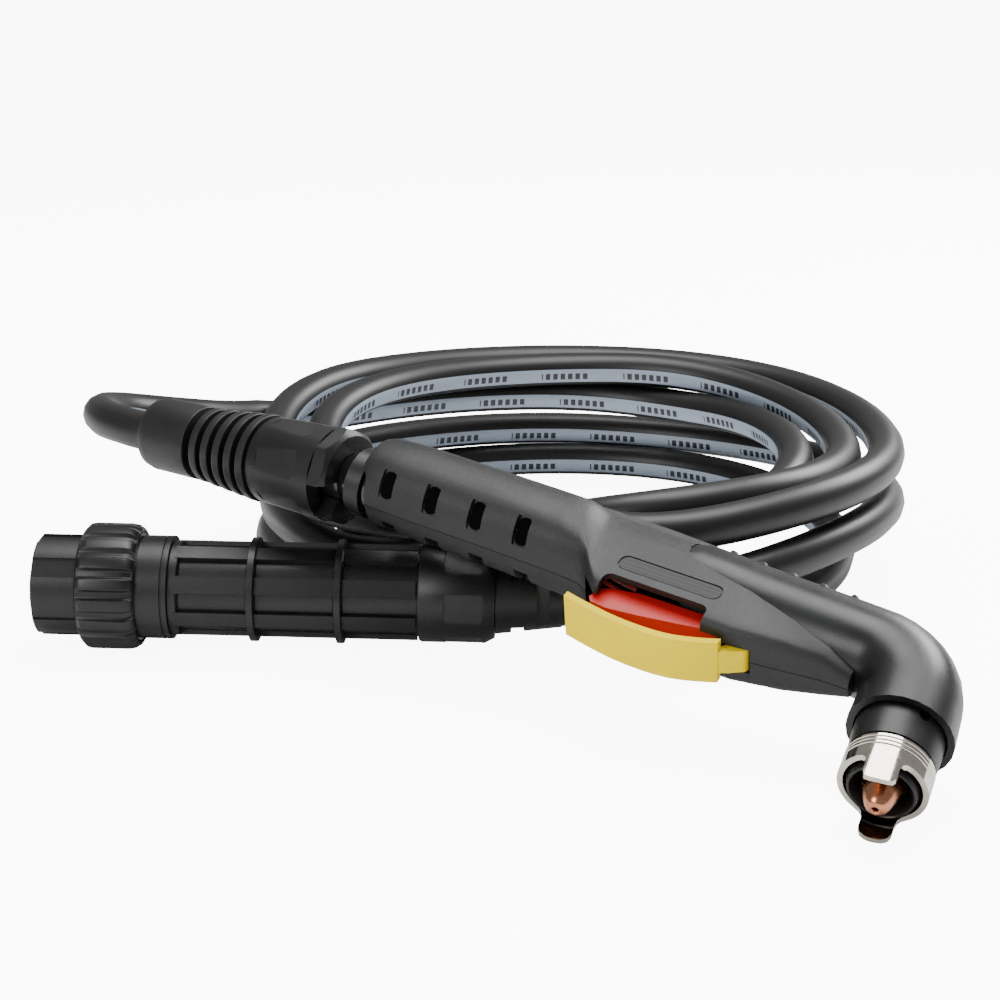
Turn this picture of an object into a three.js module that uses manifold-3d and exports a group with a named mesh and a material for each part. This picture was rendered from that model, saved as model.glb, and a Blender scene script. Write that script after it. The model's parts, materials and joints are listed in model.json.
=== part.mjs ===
// Hand plasma cutting torch with its lead and central connector, lying on the floor.
// Units are millimetres and +Z is up. The origin is on the floor, under the middle of the torch.
import * as THREE from 'three';
import { mergeVertices } from 'three/addons/utils/BufferGeometryUtils.js';
import Module from 'manifold-3d';

const wasm = await Module();
wasm.setup();

// ---- Driving dimensions ----
const GAP = 0.3;                                   // clearance between pieces that touch
const DEG = Math.PI / 180;
const FLOOR = 0;

const COIL_CENTRE = [31.1, 165.5];                     // middle of the coiled lead, on the floor
const COIL = { inner: 78, outer: 160, height: 72 };
const HOSE_RADIUS = 8;

const BALL_CENTRE = [-86, -112.5, 71.33];          // swivel ball, seen from the coil's middle
const TORCH_TURN = { roll: -69.5 * DEG, pitch: 8.6 * DEG, yaw: -30.3 * DEG };
const BOOT_TURN = { roll: -70 * DEG, pitch: 2.3 * DEG, yaw: -33.2 * DEG };
const BALL_RADIUS = 11.5;
const BOOT_END = -106;

const WALL = 2.4;                                  // handle shell
const GRIP = { rear: 3, front: 100, halfWidth: 17.3, low: -12.3, high: 21.3 };
const HOUSING = { halfWidth: 12.5, low: -23, high: 20.6, front: 166 };
const KEEL_END = 208;

const NECK_RADIUS = 16.25;
const ELBOW_X = 226;                               // where the neck and head axes meet
const NECK_HEIGHT = 1;
const BEND = 80.5 * DEG;
const BEND_RADIUS = 22;
const RIM = { radius: 18, at: 32 };                // lower edge of the head, along the head axis
const CAP_AT = [20, 58];
const SPACER = { outer: 14.8, inner: 12.9, back: 46, rim: 56, tip: 66 };
const NOZZLE_TIP = 66;

const CONNECTOR_NOSE = [-215.5, -101, 25.7];       // middle of its front face, from the coil's middle
const CONNECTOR_TURN = { pitch: 0.75 * DEG, yaw: -2 * DEG };
const CONNECTOR = { nut: [17.6, 40.5], collarEnd: 53, gripEnd: 150, glandEnd: 180, bootEnd: 225 };

// ---- Materials ----
function plastic(colour, roughness) {
  return new THREE.MeshStandardMaterial({ color: colour, roughness, metalness: 0 });
}

function metal(colour, roughness) {
  return new THREE.MeshStandardMaterial({ color: colour, roughness, metalness: 1 });
}

const BLACK = 0x1c1d1f;
const GREY = 0x3a3b3e;

// ---- Solids ----
function solid(geometry) {
  const bare = geometry.clone();
  bare.deleteAttribute('normal');
  bare.deleteAttribute('uv');
  const merged = mergeVertices(bare, 1e-4);
  return new wasm.Manifold(new wasm.Mesh({
    numProp: 3,
    vertProperties: Float32Array.from(merged.attributes.position.array),
    triVerts: Uint32Array.from(merged.index.array),
  }));
}

function geometryOf(manifold) {
  const mesh = manifold.getMesh();
  const geometry = new THREE.BufferGeometry();
  const step = mesh.numProp;
  const positions = new Float32Array((mesh.vertProperties.length / step) * 3);
  for (let i = 0; i < positions.length / 3; i += 1) {
    positions.set(mesh.vertProperties.slice(i * step, i * step + 3), i * 3);
  }
  geometry.setAttribute('position', new THREE.BufferAttribute(positions, 3));
  geometry.setIndex(Array.from(mesh.triVerts));
  return geometry;
}

function largest(manifold) {
  const pieces = manifold.decompose();
  pieces.sort((a, b) => b.volume() - a.volume());
  return pieces[0];
}

function part(group, name, shape, material) {
  const geometry = shape.isBufferGeometry ? shape : geometryOf(shape);
  geometry.computeVertexNormals();
  const mesh = new THREE.Mesh(geometry, material);
  mesh.name = name;
  group.add(mesh);
  return mesh;
}

// A closed skin over a row of outlines that all have the same number of points.
function loft(outlines) {
  const count = outlines[0].length;
  const positions = outlines.flat().flatMap((point) => [point.x, point.y, point.z]);
  const index = [];
  for (let row = 0; row < outlines.length - 1; row += 1) {
    for (let i = 0; i < count; i += 1) {
      const a = row * count + i;
      const b = row * count + ((i + 1) % count);
      index.push(a, b, b + count, a, b + count, a + count);
    }
  }
  const last = (outlines.length - 1) * count;
  for (let i = 1; i < count - 1; i += 1) {
    index.push(0, i + 1, i);
    index.push(last, last + i, last + i + 1);
  }
  const geometry = new THREE.BufferGeometry();
  geometry.setAttribute('position', new THREE.Float32BufferAttribute(positions, 3));
  geometry.setIndex(index);
  return geometry;
}

// A turned piece about the X axis. Each point of the profile is [x, radius].
function turned(profile, sides = 24) {
  const points = profile.map(([x, radius]) => new THREE.Vector2(radius, x));
  points.push(points[0].clone());
  const geometry = new THREE.LatheGeometry(points, sides);
  return fixWinding(geometry.rotateZ(-Math.PI / 2));
}

// Makes the faces point outwards, whichever way the profile was drawn.
function fixWinding(geometry) {
  const flat = mergeVertices(stripped(geometry), 1e-4);
  const at = flat.attributes.position;
  const index = flat.index.array;
  const [a, b, c] = [new THREE.Vector3(), new THREE.Vector3(), new THREE.Vector3()];
  let volume = 0;
  const kept = [];
  for (let i = 0; i < index.length; i += 3) {
    const [p, q, r] = [index[i], index[i + 1], index[i + 2]];
    if (p !== q && q !== r && r !== p) kept.push(p, q, r);
    a.fromBufferAttribute(at, p);
    b.fromBufferAttribute(at, q);
    c.fromBufferAttribute(at, r);
    volume += a.dot(b.cross(c));
  }
  if (volume < 0) kept.reverse();
  flat.setIndex(kept);
  return flat;
}

function stripped(geometry) {
  const bare = geometry.clone();
  bare.deleteAttribute('normal');
  bare.deleteAttribute('uv');
  return bare;
}

function box(from, to) {
  const size = to.map((value, i) => value - from[i]);
  const geometry = new THREE.BoxGeometry(...size);
  return geometry.translate(from[0] + size[0] / 2, from[1] + size[1] / 2, from[2] + size[2] / 2);
}

// A cylinder from one point to another.
function rod(from, to, radius, sides = 20) {
  const start = new THREE.Vector3(...from);
  const end = new THREE.Vector3(...to);
  const along = end.clone().sub(start);
  const geometry = new THREE.CylinderGeometry(radius, radius, along.length(), sides);
  const turn = new THREE.Quaternion().setFromUnitVectors(new THREE.Vector3(0, 1, 0), along.clone().normalize());
  geometry.applyQuaternion(turn);
  return geometry.translate(...start.add(end).multiplyScalar(0.5).toArray());
}

// A tube along a smooth curve through hand-chosen points.
function tube(points, radius, sides, steps) {
  const path = new THREE.CatmullRomCurve3(points.map((p) => new THREE.Vector3(...p)), false, 'centripetal');
  const outline = new THREE.Shape();
  outline.absarc(0, 0, radius, 0, 2 * Math.PI);
  const settings = { steps, extrudePath: path, curveSegments: sides / 2, bevelEnabled: false };
  return fixWinding(new THREE.ExtrudeGeometry(outline, settings));
}

function helix(centre, radius, pitch, turns, wire) {
  const points = [];
  const perTurn = 8;
  for (let i = 0; i <= turns * perTurn; i += 1) {
    const angle = (i / perTurn) * 2 * Math.PI;
    const height = (i / perTurn) * pitch;
    points.push([
      centre[0] + radius * Math.cos(angle),
      centre[1] + radius * Math.sin(angle),
      centre[2] + height,
    ]);
  }
  return tube(points, wire, 6, turns * 9);
}

// ---- Handle ----
// An outline across the handle: flat-sided below and rounder above, leaning back at the top.
function handleOutline(station, inset) {
  const [x, halfWidth, low, high, lowPower, highPower, lean] = station;
  const points = [];
  const count = 28;
  const middle = Math.min(4, (low + high) / 2 + 1);
  for (let i = 0; i < count; i += 1) {
    const angle = (i / count) * 2 * Math.PI;
    const up = Math.sin(angle) > 0;
    const power = 2 / (up ? highPower : lowPower);
    const reach = up ? high - middle : middle - low;
    const y = (halfWidth - inset) * Math.sign(Math.cos(angle)) * Math.abs(Math.cos(angle)) ** power;
    const z = middle + (reach - inset) * Math.sign(Math.sin(angle)) * Math.abs(Math.sin(angle)) ** power;
    points.push(new THREE.Vector3(x - lean * (z - middle), y, z));
  }
  return points;
}

// x, half width, low, high, squareness below and above, lean
function handleStations() {
  const { halfWidth: wide, low, high } = GRIP;
  const { halfWidth: narrow, low: deep, high: top } = HOUSING;
  return [
    [GRIP.rear, wide - 4, low + 4, high - 4, 2.2, 2.2, 0],
    [GRIP.rear + 1.6, wide - 1.6, low + 1.6, high - 1.6, 2.2, 2.2, 0],
    [GRIP.rear + 5, wide - 0.5, low + 0.4, high - 0.4, 2.2, 2.2, 0],
    [24, wide, low, high, 2.3, 2.3, 0],
    [60, wide, low, high, 2.4, 2.3, 0.1],
    [GRIP.front - 14, wide, low - 0.4, high, 2.6, 2.3, 0.3],
    [GRIP.front - 5, wide - 0.6, low - 1.2, high, 3, 2.4, 0.35],
    [GRIP.front - 1, wide - 2.4, low - 3, high - 0.2, 4, 2.5, 0.35],
    [GRIP.front + 2, narrow + 0.6, deep + 4, top + 0.4, 7, 2.6, 0.35],
    [GRIP.front + 6, narrow, deep + 0.6, top, 9, 2.6, 0.3],
    [GRIP.front + 12, narrow, deep, top, 9, 2.6, 0.1],
    [140, narrow, deep, top - 0.4, 9, 2.6, 0],
    [150, narrow, deep, 14, 9, 2.5, 0],
    [HOUSING.front, narrow, deep, 11, 9, 2.4, 0],
    [184, 11.6, deep + 2.2, 9, 7, 2.2, 0],
    [198, 9.4, deep + 4.2, 4, 5, 2.2, 0],
    [KEEL_END, 5.6, deep + 4.2, 0, 4, 2.2, 0],
  ];
}

// The neck, as rings round its centre line: [x, height of the centre, half width, half height].
const NECK = [[126, 6, 9.4, 11], [134, 7.4, 11.4, 13.2], [140, 8, 12.6, 14], [150, 7.2, 13, 14.4],
  [164, 5.4, 13.6, 15], [181, 3.2, 15, 15.8], [195, 1.8, 16, 16.1]];

function neckRings(extra) {
  const outlines = NECK.map(([x, height, wide, tall]) => ring([x, 0, height], [1, 0, 0], wide + extra, tall + extra));
  const bendStart = ELBOW_X - BEND_RADIUS * Math.tan(BEND / 2);
  for (let i = 0; i <= 8; i += 1) {
    const angle = BEND * (i / 8);
    const x = bendStart + BEND_RADIUS * Math.sin(angle);
    const z = NECK_HEIGHT - BEND_RADIUS * (1 - Math.cos(angle));
    const radius = NECK_RADIUS + (RIM.radius - 0.6 - NECK_RADIUS) * (i / 8);
    outlines.push(ring([x, 0, z], [Math.cos(angle), 0, -Math.sin(angle)], radius + extra));
  }
  const [x, , z] = onHead(RIM.at);
  outlines.push(ring([x, 0, z], headDirection(), RIM.radius + extra));
  return outlines;
}

function ring(centre, normal, radius, tall = radius) {
  const count = 24;
  const side = new THREE.Vector3(0, 1, 0);
  const up = new THREE.Vector3(...normal).cross(side);
  const points = [];
  for (let i = 0; i < count; i += 1) {
    const angle = (i / count) * 2 * Math.PI;
    const point = new THREE.Vector3(...centre);
    point.addScaledVector(side, radius * Math.cos(angle));
    point.addScaledVector(up, tall * Math.sin(angle));
    points.push(point);
  }
  return points;
}

function headDirection() {
  return [Math.cos(BEND), 0, -Math.sin(BEND)];
}

function onHead(distance) {
  const [x, , z] = headDirection();
  return [ELBOW_X + distance * x, 0, NECK_HEIGHT + distance * z];
}

// Turns a piece that was made along +X from the elbow on to the head axis.
function alongHead(geometry) {
  return geometry.rotateY(BEND).translate(ELBOW_X, 0, NECK_HEIGHT);
}

const TRIGGER_PIVOT = [158, -17];
const LEVER_PIVOT = [170, -20.5];
// Each screw: x, z and how far its post reaches either side.
const SCREWS = [[17, 15.5, 9.6], [84, -6.4, 11], [108, 14, 9.2], [178.5, -17.4, 10.4]];
const SCREW_RADIUS = 1.6;
const SCREW_HEAD = 3;

// A row of shallow slots down each lower side of the round grip.
function gripSlots() {
  const cutters = [];
  for (let i = 0; i < 4; i += 1) {
    for (const side of [-1, 1]) {
      cutters.push(slotCutter(17.5 + i * 19.6, side, -51 * DEG, 5.6, 1.6));
    }
  }
  return cutters;
}

// A flat-floored slot square to the round grip, turned up or down from its widest line.
function slotCutter(x, side, angle, half, depth) {
  const floor = GRIP.halfWidth - depth;
  const geometry = box([x - 3, floor, -half], [x + 3, floor + 9, half]);
  geometry.rotateX(angle);
  if (side < 0) geometry.rotateZ(Math.PI).translate(2 * x, 0, 0);
  return geometry.translate(0, 0, (GRIP.low + GRIP.high) / 2);
}

function handleShells(group, material) {
  const stations = handleStations();
  const outside = solid(loft(stations.map((station) => handleOutline(station, 0))));
  let body = outside.add(spine());
  const cavity = stations.filter(([x]) => x > 6 && x < 180 && x !== 60 && x !== GRIP.front - 1)
    .map((station) => handleOutline(station, WALL));
  body = body.subtract(solid(loft(cavity)));
  body = body.subtract(solid(loft(neckRings(GAP))));
  body = body.subtract(solid(rod([150, 0, 3], [215, 0, -2], 10)));
  body = body.subtract(solid(new THREE.SphereGeometry(BALL_RADIUS + 2.6, 16, 10)));
  body = body.subtract(solid(rod([-2, 0, 0], [8, 0, 0], BALL_RADIUS + 2.4, 20)));
  for (const cutter of gripSlots()) {
    body = body.subtract(solid(cutter));
  }
  body = body.subtract(solid(windowCutter()));
  body = body.subtract(solid(box([106, -7.4, -40], [162, 7.4, -12])));
  body = body.subtract(solid(box([161.9, -5.4, -40], [173.6, 5.4, LEVER_PIVOT[1] + 3.2])));
  body = body.subtract(solid(leverRod(8.2, 1.2)));
  for (const side of [-1, 1]) {
    body = body.subtract(solid(labelPad(side)));
  }
  body = body.add(screwPosts().intersect(outside));
  body = body.subtract(screwHoles());
  body = body.subtract(solid(rod([TRIGGER_PIVOT[0], -9.8, TRIGGER_PIVOT[1]],
    [TRIGGER_PIVOT[0], 9.8, TRIGGER_PIVOT[1]], 1.8)));
  const far = solid(box([-30, GAP / 2, -80], [300, 80, 80]));
  const near = solid(box([-30, -80, -80], [300, -GAP / 2, 80]));
  part(group, 'handle_shell_right', largest(body.intersect(near)), material);
  part(group, 'handle_shell_left', largest(body.intersect(far)), material);
}

// The raised flat strip along the top of the handle.
function spine() {
  const heights = [[12, 20.8], [16, 22.2], [100, 22.4], [122, 22.2], [141, 21.2]];
  const outlines = heights.map(([x, high]) => [
    new THREE.Vector3(x, -7.2, 14),
    new THREE.Vector3(x, 7.2, 14),
    new THREE.Vector3(x, 7.2, high - 1.4),
    new THREE.Vector3(x, 5.6, high),
    new THREE.Vector3(x, -5.6, high),
    new THREE.Vector3(x, -7.2, high - 1.4),
  ]);
  return solid(fixWinding(loft(outlines)));
}

// The opening in both sides that shows the trigger, with rounded upper corners.
function windowCutter() {
  const outline = new THREE.Shape();
  outline.moveTo(115, -40);
  outline.lineTo(155, -40);
  outline.lineTo(155, -18.5);
  outline.absarc(152, -18.5, 3, 0, Math.PI / 2);
  outline.lineTo(118, -15.5);
  outline.absarc(118, -18.5, 3, Math.PI / 2, Math.PI);
  outline.closePath();
  return acrossHandle(outline, 40);
}

// Extrudes an outline drawn in x and z through the handle, evenly about its middle.
function acrossHandle(outline, width, middle = 0) {
  const geometry = new THREE.ExtrudeGeometry(outline, { depth: width, bevelEnabled: false, curveSegments: 4 });
  geometry.rotateX(Math.PI / 2);
  return fixWinding(geometry.translate(0, middle + width / 2, 0));
}

// The shallow rounded recess for the rating label.
function labelPad(side) {
  const outline = roundedBox(116, -11.8, 156, -4.3, 3);
  return acrossHandle(outline, 1, side * (HOUSING.halfWidth - 0.1));
}

function roundedBox(left, low, right, high, radius) {
  const outline = new THREE.Shape();
  outline.absarc(right - radius, high - radius, radius, 0, Math.PI / 2);
  outline.absarc(left + radius, high - radius, radius, Math.PI / 2, Math.PI);
  outline.absarc(left + radius, low + radius, radius, Math.PI, 1.5 * Math.PI);
  outline.absarc(right - radius, low + radius, radius, 1.5 * Math.PI, 2 * Math.PI);
  outline.closePath();
  return outline;
}

function screwPosts() {
  const posts = SCREWS.map(([x, z, deep]) => solid(rod([x, -deep, z], [x, deep, z], SCREW_HEAD + 0.9, 12)));
  return posts.reduce((all, post) => all.add(post));
}

// Each hole is blind in the near shell, and has a wide pocket for the head in the far one.
function screwHoles() {
  const holes = SCREWS.map(([x, z, deep]) => {
    const shank = solid(rod([x, -deep + 2, z], [x, deep + 6, z], SCREW_RADIUS + GAP, 10));
    return shank.add(solid(rod([x, deep - 4, z], [x, deep + 8, z], SCREW_HEAD + GAP, 14)));
  });
  return holes.reduce((all, hole) => all.add(hole));
}

function screws(group, material) {
  SCREWS.forEach(([x, z, deep], i) => {
    const shank = solid(rod([x, -deep + 2 + GAP, z], [x, deep - 3, z], SCREW_RADIUS, 8));
    const head = solid(rod([x, deep - 4 + GAP, z], [x, deep - 1, z], SCREW_HEAD, 14));
    const slot = solid(rod([x, deep - 2.4, z], [x, deep, z], 1.5, 6));
    part(group, `handle_screw_${i + 1}`, shank.add(head).subtract(slot), material);
  });
}

// ---- Trigger group ----
// A rod on the lever's hinge axis.
function leverRod(reach, radius) {
  const [x, z] = LEVER_PIVOT;
  return rod([x, -reach, z], [x, reach, z], radius, 16);
}

function trigger(group, red, steel, black) {
  const outline = new THREE.Shape();
  outline.moveTo(112.4, -24);
  outline.lineTo(113.6, -19);
  outline.lineTo(116, -17.4);
  outline.lineTo(128, -14.6);
  outline.lineTo(TRIGGER_PIVOT[0], TRIGGER_PIVOT[1] + 3);
  outline.absarc(TRIGGER_PIVOT[0], TRIGGER_PIVOT[1], 3, Math.PI / 2, -Math.PI / 2, true);
  outline.lineTo(150, -21.6);
  outline.lineTo(132, -25);
  outline.lineTo(120, -26.6);
  outline.lineTo(114, -26);
  outline.closePath();
  const pin = rod([TRIGGER_PIVOT[0], -9.4, TRIGGER_PIVOT[1]], [TRIGGER_PIVOT[0], 9.4, TRIGGER_PIVOT[1]], 1.4, 16);
  const pinHole = rod([TRIGGER_PIVOT[0], -12, TRIGGER_PIVOT[1]], [TRIGGER_PIVOT[0], 12, TRIGGER_PIVOT[1]], 1.8, 16);
  const seat = solid(rod([121, 0, -20], [121, 0, -10], 3.4, 16));
  const body = solid(acrossHandle(outline, 13)).subtract(solid(pinHole)).subtract(seat);
  part(group, 'trigger', body, red);
  part(group, 'trigger_pin', pin, steel);
  part(group, 'trigger_spring', helix([121, 0, -19.2], 2.3, 1.2, 5, 0.4), steel);
  part(group, 'microswitch', switchBody(), black);
  part(group, 'switch_plunger', box([130.8, -1.1, -14.2], [133.2, 1.1, -10.4]), red);
}

// A small snap switch with a slot for its plunger.
function switchBody() {
  const body = solid(box([124, -3, -12.3], [137, 3, -6.4]));
  return body.subtract(solid(box([130.2, -1.6, -14], [133.8, 1.6, -7.8])));
}

// The curved guard that must be swung away from the trigger before it can be pressed.
function safetyLever(group, yellow, steel) {
  const line = [[106, -30.4], [114, -32], [126, -33.8], [138, -34.2], [148, -33.2], [157, -30.4], [164, -27.4]];
  const outline = new THREE.Shape();
  outline.moveTo(...line[0]);
  outline.splineThru(line.slice(1).map(([x, z]) => new THREE.Vector2(x, z)));
  outline.lineTo(164, -24.8);
  outline.splineThru([...line].reverse().slice(1).map(([x, z]) => new THREE.Vector2(x, z + 2.6)));
  outline.closePath();
  const plate = solid(acrossHandle(outline, 18.4));
  const tab = solid(acrossHandle(leverTab(), 9.8));
  const knuckle = solid(leverRod(4.9, 2.6));
  const pinHole = solid(leverRod(12, 1.3));
  const pin = leverRod(8, 0.9);
  part(group, 'safety_lever', plate.add(tab).add(knuckle).subtract(pinHole), yellow);
  part(group, 'safety_pin', pin, steel);
}

// The narrow arm that joins the plate to its hinge.
function leverTab() {
  const [x, z] = LEVER_PIVOT;
  const outline = new THREE.Shape();
  outline.moveTo(162.6, -27.8);
  outline.lineTo(167, -25.6);
  outline.lineTo(x + 2, z - 1.6);
  outline.lineTo(x - 2, z + 1.6);
  outline.lineTo(162.6, -25.2);
  outline.closePath();
  return outline;
}

// ---- Head ----
function head(group, black) {
  let body = solid(loft(neckRings(0)));
  body = body.subtract(solid(alongHead(turned([[22, 0], [22, 15.6], [40, 15.6], [40, 0]]))));
  body = body.subtract(solid(alongHead(turned([[-6, 0], [-6, 9], [30, 9], [30, 0]]))));
  body = body.subtract(solid(rod([120, 0, 6], [ELBOW_X, 0, 0], 6.5)));
  for (let i = 0; i < 5; i += 1) {
    body = body.add(solid(thumbRib(148 + i * 12)));
  }
  part(group, 'torch_head', body, black);
}

// A low rib across the top of the neck.
function thumbRib(x) {
  const after = NECK.findIndex((row) => row[0] > x);
  const [a, b] = [NECK[after - 1] ?? NECK.at(-2), NECK[after] ?? NECK.at(-1)];
  const share = Math.min(1, (x - a[0]) / (b[0] - a[0]));
  const [, height, wide, tall] = a.map((value, i) => value + (b[i] - value) * share);
  const points = [];
  for (let i = 0; i <= 6; i += 1) {
    const angle = (42 + i * 16) * DEG;
    points.push([x, wide * Math.cos(angle), height + tall * Math.sin(angle)]);
  }
  return tube(points, 1, 6, 6);
}

function consumables(group, black, nickel, copper, brass, white, rubber) {
  const bodyProfile = [[-5, 2.2], [-5, 8.4], [19, 8.4], [19, 5.4], [10, 5.4], [10, 2.2]];
  part(group, 'cathode_body', alongHead(turned(bodyProfile)), brass);
  const seal = [[19.4, 5.5], [19.4, 8.5], [21, 8.5], [21, 5.5]];
  part(group, 'head_o_ring', alongHead(turned(seal)), rubber);
  const electrode = [[11, 0], [11, 5], [38, 5], [38, 3.6], [50, 3.6], [50, 0]];
  part(group, 'electrode', alongHead(turned(electrode)), copper);
  const swirl = [[30.5, 5.5], [30.5, 8.6], [40.5, 8.6], [40.5, 5.5]];
  part(group, 'swirl_ring', alongHead(turned(swirl)), white);
  const nozzle = [[41, 4.6], [41, 9], [48, 9], [48, 7.4], [54, 7.4], [NOZZLE_TIP - 1, 3.2],
    [NOZZLE_TIP, 2.6], [NOZZLE_TIP, 0.9], [52, 0.9], [52, 4.6]];
  part(group, 'nozzle', alongHead(turned(nozzle)), copper);
  part(group, 'retaining_cap', retainingCap(), black);
  part(group, 'spacer_ring', spacerRing(), nickel);
}

// The screwed cap that holds the nozzle. It has three U notches in its back edge.
function retainingCap() {
  const [back, front] = CAP_AT;
  const profile = [[back + 3, 9.6], [back + 3, 14.9], [38, 14.9], [45, 14.5], [45.2, 12.2],
    [front - 3, 12], [front, 11.2], [front, 10.4], [front - 5, 7.9], [48.6, 7.9], [48.6, 9.6]];
  let cap = solid(alongHead(turned(profile, 28)));
  for (let i = 0; i < 3; i += 1) {
    const angle = i * 120 * DEG + Math.PI;
    const notch = rod([33, 0, 13.2], [33, 0, 18], 2);
    cap = cap.subtract(solid(alongHead(notch.rotateX(angle))));
  }
  return cap;
}

// The two-legged stand-off ring, with grooves round its back half.
function spacerRing() {
  const { outer, inner, back, rim, tip } = SPACER;
  const profile = [[back, inner + 0.3]];
  for (let i = 0; i < 3; i += 1) {
    profile.push([back + 0.3 + i * 1.6, outer], [back + 1.2 + i * 1.6, outer]);
    profile.push([back + 1.5 + i * 1.6, outer - 0.5]);
  }
  profile.push([back + 5.2, outer], [tip, outer], [tip, inner], [back + 1, inner]);
  const shell = solid(alongHead(turned(profile, 28)));
  const wide = solid(alongHead(box([rim, -30, -30], [tip + 5, 30, 30])));
  const leg = legOutline(tip, rim);
  const legs = solid(alongHead(fixWinding(leg).rotateX(Math.PI / 2)));
  return shell.subtract(wide.subtract(legs));
}

// A slab whose outline is the two legs seen from the side, each with a rounded end.
function legOutline(tip, rim) {
  const half = 5.4;
  const flare = 3.4;
  const outline = new THREE.Shape();
  outline.moveTo(rim - 1, -half - flare);
  outline.lineTo(rim, -half - flare);
  outline.quadraticCurveTo(rim, -half, rim + flare, -half);
  outline.lineTo(tip - 2.4, -half);
  outline.quadraticCurveTo(tip + 0.6, -half, tip + 0.6, 0);
  outline.quadraticCurveTo(tip + 0.6, half, tip - 2.4, half);
  outline.lineTo(rim + flare, half);
  outline.quadraticCurveTo(rim, half, rim, half + flare);
  outline.lineTo(rim - 1, half + flare);
  outline.closePath();
  const geometry = new THREE.ExtrudeGeometry(outline, { depth: 60, bevelEnabled: false, curveSegments: 4 });
  return geometry.translate(0, 0, -30);
}

function innerLines(group, copper, insulation) {
  const gas = [[14.5, 0, 2], [60, 0, 4], [100, 0, 5.4], [128, 0, 5.6], [150, 0, 4.4], [185, 0, 1.8], [216.6, 0, 0.3]];
  part(group, 'gas_and_power_tube', tube(gas, 3, 8, 18), copper);
  const switchRoutes = { switch_wire_1: 2.2, switch_wire_2: -2.2 };
  for (const [name, y] of Object.entries(switchRoutes)) {
    const route = [[15, y * 2.4, 3], [60, y * 2.4, 6], [92, y * 2.2, 0], [112, y, -7], [123.5, y, -9.2]];
    part(group, name, tube(route, 0.9, 6, 12), insulation);
  }
  const pilot = [[15, 0, 7.6], [50, 0, 10.4], [84, 0, 13], [98, 0, 14]];
  part(group, 'pilot_wire', tube(pilot, 1.2, 6, 8), insulation);
}

// ---- Swivel and boot ----
function ballSeat(group, material) {
  const profile = [[5.5, BALL_RADIUS - 1], [5.5, BALL_RADIUS + 1.8], [-1, BALL_RADIUS + 1.8], [-1, BALL_RADIUS + 0.5]];
  const seat = solid(turned(profile, 20)).subtract(solid(new THREE.SphereGeometry(BALL_RADIUS + GAP, 16, 12)));
  part(group, 'ball_seat', largest(seat), material);
}

function swivelAndBoot(group, black, rubber, dark, brass) {
  const ball = solid(new THREE.SphereGeometry(BALL_RADIUS, 16, 12).rotateZ(Math.PI / 2));
  const stem = solid(turned([[-26, 0], [-26, 9.6], [-5, 9.6], [-5, 0]]));
  const bore = solid(rod([-40, 0, 0], [20, 0, 0], 6));
  part(group, 'swivel_ball', ball.add(stem).subtract(bore), dark);
  part(group, 'lock_ring', lockRing(), black);
  part(group, 'boot_barrel', bootBarrel(), black);
  part(group, 'cable_boot', cableBoot(), rubber);
  part(group, 'crimp_ferrule', turned([[-64, 4.6], [-64, 7], [-48, 7], [-48, 4.6]], 24), brass);
}

function lockRing() {
  const outline = new THREE.Shape();
  for (let i = 0; i < 8; i += 1) {
    const angle = (i + 0.5) * 45 * DEG;
    outline.lineTo(19.4 * Math.cos(angle), 19.4 * Math.sin(angle));
  }
  outline.closePath();
  const geometry = new THREE.ExtrudeGeometry(outline, { depth: 7, bevelEnabled: false });
  geometry.rotateY(Math.PI / 2).translate(-13.6, 0, 0);
  const cone = solid(turned([[-14, 0], [-14, 19.3], [-9, 19.3], [-6.4, 16.5], [-6.4, 0]]));
  const hole = solid(rod([-20, 0, 0], [0, 0, 0], 9.6 + GAP, 28));
  return solid(fixWinding(geometry)).intersect(cone).subtract(hole);
}

// The barrel screws over the boot, and has six shallow pads round it for the fingers.
function bootBarrel() {
  const profile = [[-46, 12], [-46, 16.6], [-44.5, 17.2], [-14, 18.5], [-14, 12]];
  let barrel = solid(turned(profile, 24));
  for (let i = 0; i < 6; i += 1) {
    const pad = roundedBox(-41, -6, -21, 6, 3);
    const geometry = new THREE.ExtrudeGeometry(pad, { depth: 6, bevelEnabled: false, curveSegments: 2 });
    geometry.translate(0, 0, 17.1).rotateX((i * 60 + 20) * DEG);
    barrel = barrel.subtract(solid(fixWinding(geometry)));
  }
  return barrel;
}

// A rubber bend boot: a smooth collar, then five ribs that grow towards the torch.
function cableBoot() {
  const end = BOOT_END;
  const profile = [[end, HOSE_RADIUS + 0.5], [end, 12.4], [end + 1.6, 14.2], [end + 5, 15], [-80.2, 15]];
  for (let i = 0; i < 5; i += 1) {
    const x = -79.4 + i * 6.5;
    const radius = 15.2 + i * 0.6;
    profile.push([x, radius - 4], [x + 2.4, radius - 4], [x + 2.6, radius - 0.4], [x + 3.2, radius]);
    profile.push([x + 6.3, radius]);
  }
  profile.push([-46.3, 12.6], [-46.3, 8], [-80, 8], [-80, HOSE_RADIUS + 0.5]);
  return turned(profile, 20);
}

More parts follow.
